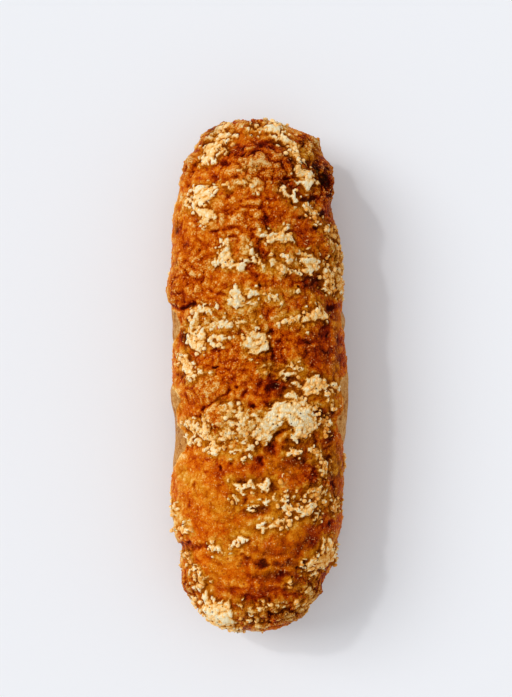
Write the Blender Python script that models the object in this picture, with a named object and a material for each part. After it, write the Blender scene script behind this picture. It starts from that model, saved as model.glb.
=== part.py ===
"""Parmesan crust bread: an oblong loaf that carries a slab of baked-on cheese, lying on its flat base.

Metres, +Z up. +Y runs along the loaf to its blunter end and +X to its right flank. The origin is the
middle of the loaf's bounding box in X and Y, on the plane of the flat base.
"""

import math

import bmesh
import bpy
from mathutils import Vector, noise

# Overall size of the loaf
LENGTH = 0.321
WIDTH = 0.1145
HEIGHT = 0.078

# Plan outline: half widths amidships, and how far each end's rounding reaches along the loaf
LEFT_HALF_WIDTH = 0.0538
RIGHT_HALF_WIDTH = 0.0525
END_REACH = 0.078
BLUNT_END = 3.0
POINTED_END = 2.1

# Side view: the tips stand above the base, under a domed top
TIP_LEVEL = 0.030
TOP_REACH = 0.062
TOP_ROUNDNESS = 2.3
UNDERCUT_REACH = 0.017
UNDERCUT_ROUNDNESS = 2.0

# Cross-section: level of the widest point, share of the half width that touches the ground, top arc
WIDEST_SHARE = 0.42
BASE_SHARE = 0.80
BASE_REACH = 0.055
CROWN_ROUNDNESS = 2.2

# The cheese slab ends in a lip part of the way down each flank
CHEESE_THICKNESS = 0.0024
LIP_LEVEL = 0.029
LIP_WAVE = 0.006
LIP_WAVE_LENGTH = 0.045
LIP_SOFTNESS = 0.006

# Where the lip rises and bares the bread, which bulges there: (y, half length, rise)
BREAD_BULGE = 0.0030
LEFT_LIP_RISES = (
    (0.033, 0.013, 0.029),
    (0.118, 0.010, 0.010),
    (-0.012, 0.010, 0.026),
    (-0.041, 0.018, 0.027),
    (-0.086, 0.012, 0.014),
)
RIGHT_LIP_RISES = (
    (0.036, 0.008, 0.021),
    (-0.004, 0.011, 0.026),
    (-0.028, 0.016, 0.027),
    (-0.082, 0.009, 0.006),
)

# Uneven swelling of the whole crust: (size of the swells, their height)
BROAD_SWELLS = (0.042, 0.0020)
SMALL_SWELLS = (0.015, 0.0012)
RELIEF_STARTS = 0.004
RELIEF_FULL = 0.016

# Swells and hollows of the plan outline: (y, half length, change of half width)
LEFT_OUTLINE_WAVES = (
    (0.055, 0.013, 0.0030),
    (-0.038, 0.018, -0.0034),
    (-0.078, 0.018, 0.0016),
    (-0.1085, 0.0055, -0.0030),
)
RIGHT_OUTLINE_WAVES = (
    (0.104, 0.022, -0.0042),
    (0.057, 0.016, -0.0028),
    (-0.003, 0.045, 0.0048),
    (-0.125, 0.020, -0.0010),
    (-0.141, 0.010, -0.0050),
)

# Raised lumps of the crust: (x, y, half length in x, half length in y, height)
LUMPS = (
    (-0.001, 0.132, 0.026, 0.019, 0.0030),
    (0.043, 0.126, 0.008, 0.013, 0.0022),
    (-0.048, 0.054, 0.014, 0.009, 0.0032),
    (-0.034, -0.007, 0.024, 0.011, 0.0034),
    (0.019, -0.026, 0.020, 0.014, 0.0026),
    (0.027, 0.019, 0.019, 0.020, 0.0018),
    (-0.026, -0.078, 0.026, 0.022, 0.0016),
    (0.027, -0.096, 0.024, 0.018, 0.0014),
    (-0.023, -0.145, 0.017, 0.009, 0.0026),
)

# Creases of the crust, each a bent line on the plan: ((x, y) points, half width, depth)
CREASES = (
    (((-0.049, -0.020), (-0.033, -0.023), (-0.018, -0.008)), 0.0042, 0.0036),
    (((0.008, 0.026), (0.009, -0.004), (0.006, -0.016)), 0.0042, 0.0026),
    (((0.000, -0.038), (0.002, -0.056)), 0.0036, 0.0024),
    (((-0.026, 0.143), (-0.016, 0.150), (0.006, 0.151), (0.016, 0.143)), 0.0040, 0.0032),
    (((-0.057, 0.046), (-0.038, 0.042)), 0.0040, 0.0038),
    (((-0.053, -0.107), (-0.033, -0.108)), 0.0040, 0.0030),
    (((-0.042, -0.115), (-0.022, -0.133), (0.006, -0.139), (0.033, -0.130)), 0.0044, 0.0026),
    (((0.004, 0.103), (0.007, 0.095)), 0.0045, 0.0022),
    (((0.044, 0.048), (0.047, 0.041)), 0.0045, 0.0030),
)

# Mesh: stations along the loaf, points around each section
END_ZONE = 0.024
END_STATIONS = 10
MIDDLE_STATIONS = 69
POINTS_OVER = 46
POINTS_UNDER = 6

# Baked cheese colour
CRUST_COLOR = (0.42, 0.15, 0.030, 1.0)
CRUST_ROUGHNESS = 0.55


def smooth_step(value):
    """0 below 0, 1 above 1, an even S between."""
    t = min(max(value, 0.0), 1.0)
    return t * t * (3.0 - 2.0 * t)


def end_rounding(from_tip, reach, roundness):
    """Share of the full size that a rounded end has at a distance from its tip."""
    u = min(max(from_tip / reach, 0.0), 1.0)
    return (1.0 - (1.0 - u) ** 2) ** (1.0 / roundness)


def along_waves(y, waves):
    """Sum of smooth swells and hollows along the loaf: (y, half length, size)."""
    return sum(size * math.exp(-((y - at) / half_length) ** 2) for at, half_length, size in waves)


def half_widths(y):
    """Left and right half widths of the plan outline at a station."""
    far_end = LENGTH / 2 - y
    near_end = LENGTH / 2 + y
    far = end_rounding(far_end, END_REACH, BLUNT_END)
    left_near = end_rounding(near_end, END_REACH, BLUNT_END)
    right_near = end_rounding(near_end, END_REACH, POINTED_END)
    left = (LEFT_HALF_WIDTH + along_waves(y, LEFT_OUTLINE_WAVES)) * far * left_near
    right = (RIGHT_HALF_WIDTH + along_waves(y, RIGHT_OUTLINE_WAVES)) * far * right_near
    return left, right


def heights(y):
    """Levels of the underside and of the top along the middle at a station."""
    from_tip = LENGTH / 2 - abs(y)
    top = TIP_LEVEL + (HEIGHT - TIP_LEVEL) * end_rounding(from_tip, TOP_REACH, TOP_ROUNDNESS)
    underside = TIP_LEVEL * (1.0 - end_rounding(from_tip, UNDERCUT_REACH, UNDERCUT_ROUNDNESS))
    return underside, top


def base_share(y):
    """Share of the half width that is flat underneath: none at the tips."""
    from_tip = LENGTH / 2 - abs(y)
    return BASE_SHARE * end_rounding(from_tip, BASE_REACH, 2.0)


def section_over(y):
    """Points of the section from the left edge of its base, over the top, to the right edge."""
    left, right = half_widths(y)
    low, high = heights(y)
    widest = low + (high - low) * WIDEST_SHARE
    flat = base_share(y)
    points = []
    for i in range(POINTS_OVER):
        turn = math.pi * (-0.5 + 2.0 * i / (POINTS_OVER - 1))
        across = math.cos(turn)
        side = left if turn < math.pi / 2 else right
        if 0.0 <= turn <= math.pi:
            x = side * abs(across) ** (2.0 / CROWN_ROUNDNESS)
            z = widest + (high - widest) * math.sin(turn) ** (2.0 / CROWN_ROUNDNESS)
        else:
            x = side * (flat + (1.0 - flat) * abs(across))
            z = widest + (widest - low) * math.sin(turn)
        points.append(Vector((-x if turn < math.pi / 2 else x, y, max(z, low))))
    return points


def section_under(y):
    """Points of the underside between its right and left edges, both left out."""
    left, right = half_widths(y)
    low, _ = heights(y)
    start = right * base_share(y)
    span = (left + right) * base_share(y)
    steps = POINTS_UNDER + 1
    return [Vector((start - span * i / steps, y, low)) for i in range(1, steps)]


def stations():
    """Y of each section: close together over the rounded ends, even amidships."""
    end_steps = [END_ZONE * (k / END_STATIONS) ** 2 for k in range(1, END_STATIONS + 1)]
    low_end = [-LENGTH / 2 + step for step in end_steps]
    span = LENGTH - 2 * END_ZONE
    middle = [-span / 2 + span * k / MIDDLE_STATIONS for k in range(1, MIDDLE_STATIONS)]
    return low_end + middle + [-y for y in reversed(low_end)]


def distance_to_line(point, line):
    """Plan distance from a point to a bent line."""
    best = math.inf
    for start, end in zip(line, line[1:]):
        a = Vector(start)
        along = Vector(end) - a
        share = (point - a).dot(along) / along.length_squared
        share = min(max(share, 0.0), 1.0)
        best = min(best, (point - a - along * share).length)
    return best


def lumps_and_creases(plan):
    """Height of the named lumps less the depth of the named creases at a point of the plan."""
    height = 0.0
    for x, y, reach_x, reach_y, rise in LUMPS:
        out = math.hypot((plan.x - x) / reach_x, (plan.y - y) / reach_y)
        height += rise * (1.0 - smooth_step(out))
    for line, half_width, depth in CREASES:
        height -= depth * math.exp(-((distance_to_line(plan, line) / half_width) ** 2))
    return height


def cheese_lip(co):
    """Thickness of the cheese slab above its lip at a point, or the bulge of the bared bread below it."""
    rises = LEFT_LIP_RISES if co.x < 0.0 else RIGHT_LIP_RISES
    rise = along_waves(co.y, rises)
    lip = LIP_LEVEL + rise + LIP_WAVE * noise.noise(Vector((co.x, co.y, 0.0)) / LIP_WAVE_LENGTH)
    cheese = smooth_step((co.z - lip) / LIP_SOFTNESS)
    bulge = BREAD_BULGE * smooth_step(rise / LIP_LEVEL)
    return CHEESE_THICKNESS * cheese + bulge * (1.0 - cheese)


def relief(co):
    """How far a point of the plain loaf moves out along its normal."""
    above_ground = smooth_step((co.z - RELIEF_STARTS) / (RELIEF_FULL - RELIEF_STARTS))
    swells = sum(rise * noise.noise(co / size) for size, rise in (BROAD_SWELLS, SMALL_SWELLS))
    on_top = smooth_step((co.z - LIP_LEVEL) / LIP_LEVEL)
    detail = lumps_and_creases(co.to_2d()) * on_top
    return above_ground * (swells + detail + cheese_lip(co))


def add_tip(bm, ring, tip, outward):
    """Fan of faces that closes an end ring on a point."""
    apex = bm.verts.new(tip)
    for a, b in zip(ring, ring[1:] + ring[:1]):
        bm.faces.new((apex, b, a) if outward else (apex, a, b))


def plain_loaf(bm):
    """Closed skin over all sections, with a fan at each tip."""
    rings = []
    for y in stations():
        points = section_over(y) + section_under(y)
        rings.append([bm.verts.new(p) for p in points])
    for ring, following in zip(rings, rings[1:]):
        count = len(ring)
        for i in range(count):
            j = (i + 1) % count
            bm.faces.new((ring[i], ring[j], following[j], following[i]))
    add_tip(bm, rings[0], (0.0, -LENGTH / 2, TIP_LEVEL), True)
    add_tip(bm, rings[-1], (0.0, LENGTH / 2, TIP_LEVEL), False)
    bmesh.ops.recalc_face_normals(bm, faces=bm.faces)


def fit_to_size(bm):
    """Stretch the skin to the stated length, width and height, centred on the origin."""
    low = [min(v.co[k] for v in bm.verts) for k in range(3)]
    high = [max(v.co[k] for v in bm.verts) for k in range(3)]
    for v in bm.verts:
        v.co.x = (v.co.x - (low[0] + high[0]) / 2) * WIDTH / (high[0] - low[0])
        v.co.y = (v.co.y - (low[1] + high[1]) / 2) * LENGTH / (high[1] - low[1])
        v.co.z = (v.co.z - low[2]) * HEIGHT / (high[2] - low[2])


def loaf_mesh():
    """The whole loaf as one closed mesh."""
    bm = bmesh.new()
    plain_loaf(bm)
    bm.normal_update()
    moves = [v.normal * relief(v.co) for v in bm.verts]
    for v, move in zip(bm.verts, moves):
        v.co += move
    fit_to_size(bm)
    bmesh.ops.triangulate(bm, faces=bm.faces)
    mesh = bpy.data.meshes.new("loaf")
    bm.to_mesh(mesh)
    bm.free()
    mesh.shade_smooth()
    return mesh


def crust_material():
    """Browned cheese crust."""
    material = bpy.data.materials.new("crust")
    material.use_nodes = True
    surface = material.node_tree.nodes["Principled BSDF"]
    surface.inputs["Base Color"].default_value = CRUST_COLOR
    surface.inputs["Roughness"].default_value = CRUST_ROUGHNESS
    surface.inputs["Metallic"].default_value = 0.0
    material.diffuse_color = CRUST_COLOR
    return material


def main():
    for old in list(bpy.data.objects):
        bpy.data.objects.remove(old)
    loaf = bpy.data.objects.new("loaf", loaf_mesh())
    loaf.data.materials.append(crust_material())
    bpy.context.collection.objects.link(loaf)


main()
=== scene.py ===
"""Looks of the parmesan crust bread: browned, lumpy baked cheese over a loaf, its top to the camera.

The crust is one closed mesh over the loaf's own sections, with its relief as real geometry. Separate joined
meshes stand on it: pale grains of cheese, browned grains, and thin shreds. Metres; places on the loaf's top
are given in pixels of the 512 x 697 picture, which picture_position() finds for any point of the surface.
"""

import math

import bmesh
import bpy
import numpy as np
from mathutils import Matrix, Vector, noise


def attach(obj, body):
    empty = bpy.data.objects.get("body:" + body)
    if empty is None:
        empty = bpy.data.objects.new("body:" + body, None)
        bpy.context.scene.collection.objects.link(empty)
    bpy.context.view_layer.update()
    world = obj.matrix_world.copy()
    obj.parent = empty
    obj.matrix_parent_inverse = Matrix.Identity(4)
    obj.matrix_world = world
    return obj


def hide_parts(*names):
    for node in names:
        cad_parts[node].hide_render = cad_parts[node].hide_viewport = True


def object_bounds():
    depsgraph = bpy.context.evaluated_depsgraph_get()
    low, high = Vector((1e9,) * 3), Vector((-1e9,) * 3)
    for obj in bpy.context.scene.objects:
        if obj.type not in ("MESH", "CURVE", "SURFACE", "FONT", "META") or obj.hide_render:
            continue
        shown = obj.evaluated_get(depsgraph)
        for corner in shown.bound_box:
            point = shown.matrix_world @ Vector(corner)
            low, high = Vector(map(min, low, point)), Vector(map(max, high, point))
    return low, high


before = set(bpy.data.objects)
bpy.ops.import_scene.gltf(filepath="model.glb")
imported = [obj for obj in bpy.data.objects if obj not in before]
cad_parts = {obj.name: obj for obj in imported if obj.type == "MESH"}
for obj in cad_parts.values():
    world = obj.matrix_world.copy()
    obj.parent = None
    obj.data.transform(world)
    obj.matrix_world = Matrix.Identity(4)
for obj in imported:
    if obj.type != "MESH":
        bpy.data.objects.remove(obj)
CAD_BOX = [list(corner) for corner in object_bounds()]

# Overall size, from the frame
LENGTH = CAD_BOX[1][1] - CAD_BOX[0][1]
WIDTH = CAD_BOX[1][0] - CAD_BOX[0][0]
HEIGHT = CAD_BOX[1][2] - CAD_BOX[0][2]
MM = 0.001

# Camera and picture
PICTURE = (512, 697)
METRES_PER_PIXEL = 0.000625
ORIGIN_PIXEL = (257.0, 376.0)
OUTLINE_LEVEL = 0.034
CAMERA_DISTANCE = 0.85
SENSOR_MM = 36.0

# Plan outline, side view and section of the loaf, as the CAD has them
LEFT_HALF_WIDTH = 0.0538
RIGHT_HALF_WIDTH = 0.0525
END_REACH = 0.078
BLUNT_END = 3.0
POINTED_END = 2.1
TIP_LEVEL = 0.030
TOP_REACH = 0.062
TOP_ROUNDNESS = 2.3
UNDERCUT_REACH = 0.017
WIDEST_SHARE = 0.42
BASE_SHARE = 0.80
BASE_REACH = 0.055
CROWN_ROUNDNESS = 2.2
LEFT_OUTLINE_WAVES = (
    (0.055, 0.013, 0.0030),
    (-0.038, 0.018, -0.0034),
    (-0.078, 0.018, 0.0016),
    (-0.1085, 0.0055, -0.0030),
)
RIGHT_OUTLINE_WAVES = (
    (0.104, 0.022, -0.0042),
    (0.057, 0.016, -0.0028),
    (-0.003, 0.045, 0.0048),
    (-0.125, 0.020, -0.0010),
    (-0.141, 0.010, -0.0050),
)
BROAD_SWELLS = (0.042, 0.0020)
SMALL_SWELLS = (0.015, 0.0012)
RELIEF_STARTS = 0.004
RELIEF_FULL = 0.016
LUMPS = (
    (-0.001, 0.132, 0.026, 0.019, 0.0030),
    (0.043, 0.126, 0.008, 0.013, 0.0022),
    (-0.048, 0.054, 0.014, 0.009, 0.0032),
    (-0.034, -0.007, 0.024, 0.011, 0.0034),
    (0.019, -0.026, 0.020, 0.014, 0.0026),
    (0.027, 0.019, 0.019, 0.020, 0.0018),
    (-0.026, -0.078, 0.026, 0.022, 0.0016),
    (0.027, -0.096, 0.024, 0.018, 0.0014),
    (-0.023, -0.145, 0.017, 0.009, 0.0026),
)

# The cheese slab's lip on each flank: level, waves, and where it rises to bare the bread: (y, reach, rise)
CHEESE_THICKNESS = 0.0014
BREAD_BULGE = 0.0024
LIP_LEVEL = 0.027
LIP_WAVE = 0.007
LIP_SOFTNESS = 0.0035
LEFT_LIP_RISES = (
    (0.033, 0.013, 0.029),
    (0.118, 0.010, 0.010),
    (-0.012, 0.010, 0.026),
    (-0.041, 0.018, 0.027),
    (-0.086, 0.012, 0.014),
)
RIGHT_LIP_RISES = (
    (0.036, 0.008, 0.021),
    (-0.004, 0.011, 0.026),
    (-0.028, 0.016, 0.027),
    (-0.082, 0.009, 0.006),
)
LIP_CRUMBLE = ((0.0075, 0.0060), (0.0030, 0.0028))
LIP_GLOW = 0.0055

# How far up the surface must face to show in the picture
SEEN_FACING = -0.06
SEEN_SOFTNESS = 0.20

# The crust's lumps: (name, size, seed), how far each reaches, and how low and narrow the smallest are
LUMP_SIZES = (("big", 0.0085, 71), ("middle", 0.0044, 72), ("small", 0.0020, 73))
LUMP_REACH = 0.95
LOWEST_LUMP = 0.40
NARROWEST_LUMP = 0.60

# Pushes that loosen the pattern of lumps: (size, push, seed), and the grit's (size, seed, octaves)
LOOSENING = ((0.0090, 0.0026, 91), (0.0030, 0.0008, 94))
GRIT = (0.0026, 74, 2)

# Heights in mm, from big lumps to small: (plain, added where knobbly), on browned crust and on pale curds
BROWNED_LUMPS = ((0.8, 2.1), (0.6, 2.3), (0.3, 1.0))
BROWNED_GRIT = 0.25
CURD_LUMPS = ((0.8, 0.0), (1.25, 0.7), (0.8, 0.0))
CURD_GRIT = 0.5
CURD_RISE = 1.2
BURNT_DIP = 0.9

# Bare bread: (height in mm, size, seed, octaves) of its swells, and its pores
BREAD_SWELLS = ((0.35, 0.005, 77, 3), (0.8, 0.018, 79, 2))
PORE_SIZE = 0.0036
PORE_DEPTH = 0.55

# How far a point stands out of its neighbourhood: (name, reach in grid steps, full height)
HOLLOWS = (("hollow_small", 2, 0.00040), ("hollow_large", 5, 0.00085))

# Loose grains of cheese: (how many, smallest radius, largest radius, share of the radius that is sunk)
PALE_GRAINS = (1300, 0.0005, 0.0013, 0.55)
BROWNED_GRAINS = (1300, 0.0005, 0.0012, 0.62)
GRAIN_STRETCH = (0.72, 1.25)
GRAIN_SUBDIVISIONS = 2

# Scattered shreds of cheese; half lengths in pixels
SHRED_COUNT = 24
SHRED_HALF_LENGTH = (1.6, 3.4)
SHRED_BEND = 1.1
SHRED_RADIUS = (0.00035, 0.00055)
SHRED_LIFT = 0.0002
TUBE_SIDES = 5

# Random draws of the grains and shreds
SEED = 17

# Mesh: spacing along the loaf and around it, in metres
TOP_SPACING = 0.00068
FLANK_POINTS = 34
UNDER_POINTS = 17
END_ZONE = 0.0102
END_STATIONS = 30

# Pixels over which neighbouring patches flow together; noise that pushes outlines about: (size, pixels)
PATCH_BLEND = 1.2
FAR_OUTSIDE = 40.0
WEAK_LOSS = 2.0
BARE_BREAD = -9.0
WARPS = ((0.010, 5.0), (0.0038, 5.0))

# Pixels by which small and middle lumps fray the pale patches, and by which stray curds count as pale
SMALL_FRAY = 2.6
MIDDLE_FRAY = 2.4
STRAY_CURD = 6.0

# Invented for the flanks that the picture doesn't show: noise (size, seed, octaves)
UNSEEN_CHEESE = (0.026, 31, 3)
UNSEEN_OCHRE = (0.022, 41, 3)
UNSEEN_DARK = (0.016, 43, 3)
UNSEEN_WHITENESS = 0.85

# How ochre and how pale the loaf's rim in the picture is, and how pale the slab's lip
RIM_OCHRE = 0.8
RIM_PALENESS = 0.40
LIP_PALENESS = 0.75

# Places fade as exp(-PLACE_FALL * distance ** PLACE_POWER), the distance as a share of their own reach
PLACE_FALL = 1.3
PLACE_POWER = 2.4

# Light: (name, toward it, width in degrees, strength), and the even sky
SUNS = (
    ("window", (-0.76, 0.30, 0.72), 32.0, 1.25),
    ("pane", (-0.55, 0.42, 0.80), 3.5, 0.35),
)
SKY_COLOUR = (0.98, 0.985, 1.0, 1.0)
SKY_STRENGTH = 0.66
FLOOR_SIZE = 12.0

# Pale cheese on the top as strokes, in pixels: (strength, (x, y, reach), (x, y, reach), ...)
PALE_CHEESE = (
    (1, (205, 156, 3.5), (210, 148, 5), (216, 139, 5.5), (223, 132, 4.5), (233, 130, 2)),
    (0.5, (219, 150, 2), (224, 144, 2.5)), (0.7, (248, 127, 1.5), (256, 126, 2)),
    (1.1, (268, 124, 2), (275, 126, 4), (281, 133, 4), (287, 138, 4.5), (294, 146, 5.5), (300, 152, 3)),
    (0.45, (243, 163, 2.5), (256, 162, 2)), (0.8, (240, 179, 2), (250, 178, 3), (258, 179, 2)),
    (0.7, (257, 184, 1.5)), (0.6, (223, 181, 2.5), (228, 182, 3)),
    (1.1, (297, 163, 3), (302, 168, 5), (308, 172, 7), (307, 181, 4.5), (300, 178, 2)),
    (1, (283, 184, 3), (287, 191, 2.5)), (1, (294, 194, 2.5)),
    (1, (196, 194, 6), (200, 188, 7), (207, 188, 7), (211, 184, 4)),
    (1, (203, 195, 7), (196, 197, 4), (195, 203, 3)), (0.8, (188, 194, 1.5), (187, 202, 1.5)),
    (1, (197, 208, 3), (203, 208, 5), (209, 210, 5), (214, 214, 3)), (1, (203, 216, 5.5), (205, 220, 1.5)),
    (0.9, (305, 200, 3), (310, 206, 4), (316, 213, 4)), (0.9, (326, 225, 3), (331, 231, 4)),
    (1, (265, 230, 3), (271, 232, 4), (279, 232, 4.5), (285, 233, 5), (291, 234, 2.5)),
    (0.7, (285, 225, 3)),
    (1, (226, 239, 4), (223, 246, 4.5), (223, 252, 5), (224, 259, 5), (233, 261, 2), (241, 262, 3.5)),
    (1, (224, 256, 4), (218, 257, 4), (213, 258, 2)), (0.7, (247, 243, 2), (262, 260, 2.5)),
    (0.6, (271, 258, 4), (278, 262, 5), (286, 266, 5)), (0.9, (276, 247, 1.5), (285, 252, 2.5)),
    (0.8, (298, 248, 2.5), (304, 250, 3)),
    (1.15, (302, 255, 4), (309, 257, 7), (312, 262, 6), (304, 267, 3), (299, 267, 3)),
    (1, (323, 259, 2.5), (326, 264, 3), (327, 272, 5), (329, 280, 5.5), (330, 287, 3)),
    (0.95, (334, 228, 3), (337, 244, 3), (338, 262, 4), (339, 275, 4), (340, 288, 3.5)),
    (1.15, (236, 291, 6), (240, 296, 7), (233, 298, 5), (238, 302, 2)),
    (0.95, (250, 290, 3), (257, 290, 3)), (0.8, (250, 301, 2.5), (256, 301, 2)),
    (0.9, (272, 294, 3), (277, 297, 3.5)), (0.6, (294, 290, 2.5)),
    (1, (193, 322, 2), (194, 315, 3), (197, 309, 3), (204, 306, 4), (210, 307, 2.5)),
    (1.2, (214, 320, 3), (221, 321, 4.5), (229, 324, 4), (233, 322, 2.5)),
    (0.6, (237, 321, 2.5), (245, 318, 2)),
    (1, (192, 326, 3), (193, 333, 4.5), (194, 341, 5), (199, 344, 5), (202, 336, 4), (197, 330, 4)),
    (1, (213, 337, 3), (221, 336, 3.5), (228, 336, 2.5)),
    (1, (253, 331, 4), (249, 337, 4.5), (256, 336, 5), (262, 334, 4), (264, 342, 3), (263, 347, 1.5)),
    (1, (249, 342, 3), (251, 347, 4.5), (259, 348, 3.5)), (0.9, (257, 317, 2.5)),
    (0.9, (283, 318, 3), (290, 317, 4), (297, 316, 3)),
    (1, (305, 317, 4), (311, 314, 6), (318, 312, 5), (323, 313, 3)), (1, (303, 325, 3)),
    (0.65, (319, 300, 2.5), (321, 306, 2)),
    (1, (184, 356, 3.5), (187, 362, 4), (188, 369, 5), (192, 373, 4.5), (188, 378, 2.5)),
    (0.5, (200, 370, 3), (207, 371, 2)), (0.55, (262, 365, 2), (270, 364, 2)),
    (0.5, (281, 371, 4), (286, 373, 3), (296, 373, 3)), (0.8, (297, 365, 4.5), (301, 368, 3)),
    (1, (297, 383, 2.5)), (1, (304, 384, 3), (308, 379, 3.5), (314, 379, 5), (321, 382, 6), (325, 385, 4)),
    (1, (314, 385, 6), (309, 389, 3)), (0.95, (334, 384, 4.5)),
    (0.75, (286, 394, 3), (292, 394, 4), (299, 396, 4), (304, 400, 4), (308, 406, 3)),
    (0.8, (332, 399, 2.5), (331, 405, 2.5)), (0.6, (312, 403, 2), (317, 407, 2)),
    (1.25, (272, 414, 6), (280, 410, 9), (290, 407, 8), (300, 410, 10), (306, 419, 10), (311, 425, 6)),
    (1.25, (294, 419, 6), (299, 428, 5.5), (296, 435, 3.5), (304, 432, 4)),
    (1.2, (278, 418, 5), (270, 423, 4)),
    (1.15, (256, 423, 4), (264, 421, 4), (263, 428, 7.5), (257, 433, 5), (267, 433, 5)),
    (0.7, (320, 420, 3), (328, 423, 3), (326, 430, 3)), (0.85, (223, 404, 4), (229, 408, 4.5)),
    (1, (240, 411, 4), (243, 417, 5), (238, 421, 5), (244, 426, 5), (241, 432, 2.5)),
    (0.9, (228, 417, 2), (231, 424, 2.5), (229, 429, 2)), (0.7, (257, 417, 3)),
    (1, (187, 423, 3), (192, 422, 3), (196, 428, 2.5), (193, 434, 2)),
    (0.95, (205, 421, 4), (205, 428, 4.5), (207, 436, 4), (211, 441, 4)), (1, (197, 438, 3), (201, 439, 2)),
    (1, (214, 445, 5), (218, 447, 4), (212, 449, 4), (215, 452, 2.5)),
    (1, (223, 432, 4), (228, 435, 4), (222, 437, 3)), (0.6, (226, 444, 2.5), (222, 445, 2)),
    (0.85, (244, 436, 3), (248, 433, 3), (244, 441, 2)), (0.9, (232, 453, 3), (238, 452, 2)),
    (0.95, (244, 452, 2), (249, 450, 3), (253, 447, 2.5)), (0.85, (247, 459, 2), (249, 456, 2)),
    (0.95, (290, 452, 3.5), (293, 451, 3), (299, 452, 2.2)),
    (0.8, (313, 450, 3), (318, 452, 4), (317, 457, 3), (322, 461, 2), (323, 467, 3), (325, 473, 2.5)),
    (0.6, (331, 468, 2)), (1, (237, 487, 3.5), (239, 493, 3)), (0.9, (234, 498, 1.5), (236, 503, 1.5)),
    (1, (253, 508, 1.3), (261, 505, 1.8), (269, 503, 1.4)),
    (0.95, (244, 488, 2.5), (250, 484, 3), (254, 486, 2.5)),
    (1, (260, 486, 2), (265, 487, 4), (268, 482, 2.5)), (0.6, (228, 482, 2), (232, 485, 2)),
    (0.6, (277, 486, 2)), (0.6, (273, 495, 2), (276, 502, 1.5)),
    (0.9, (284, 498, 1.5), (291, 497, 1.5), (297, 496, 1.5)),
    (0.95, (284, 505, 3.5), (289, 511, 4), (296, 513, 4), (304, 511, 5), (311, 505, 5), (313, 500, 4),
     (321, 494, 2.5)),
    (0.7, (309, 491, 2.5), (317, 489, 3)), (0.65, (335, 500, 3), (333, 510, 3)),
    (0.6, (318, 508, 2), (316, 520, 2)), (0.75, (177, 531, 3), (181, 529, 4), (183, 533, 4)),
    (0.9, (171, 508, 1.2), (171, 518, 1.5)), (0.8, (258, 529, 3), (264, 530, 3.5), (263, 535, 3)),
    (0.6, (268, 530, 3), (277, 525, 4), (284, 519, 3), (289, 524, 3)), (0.9, (214, 544, 2)),
    (0.85, (214, 549, 2.5), (219, 549, 3), (221, 553, 2)),
    (0.85, (231, 549, 2), (233, 544, 3), (238, 543, 4), (244, 542, 2.5)),
    (0.5, (184, 556, 2), (187, 563, 2), (193, 571, 2), (198, 577, 3), (202, 583, 4)), (0.9, (200, 585, 3)),
    (0.8, (193, 600, 1.5), (195, 606, 1.5)),
    (0.88, (208, 592, 3), (210, 600, 4), (212, 608, 7), (214, 617, 8), (219, 626, 4)),
    (0.88, (227, 605, 4), (221, 611, 8), (226, 620, 7)), (0.6, (240, 607, 2.5), (240, 611, 2.5)),
    (0.7, (251, 613, 3), (250, 618, 3)), (0.6, (258, 617, 2), (259, 624, 3)),
    (0.85, (262, 609, 2.5), (266, 608, 1.5)), (0.8, (275, 610, 1.5), (281, 608, 1.5)),
    (0.85, (285, 613, 2.5), (288, 616, 1.5)), (0.8, (299, 607, 3), (304, 602, 2.5), (309, 598, 2.5)),
    (0.8, (236, 629, 3), (231, 624, 2)), (0.85, (308, 590, 2.5)), (0.6, (291, 586, 2.5)),
    (0.88, (329, 542, 4), (328, 550, 5), (326, 557, 7), (320, 563, 6), (311, 568, 4.5), (308, 573, 3)),
    (0.85, (312, 577, 3)),
)

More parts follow.
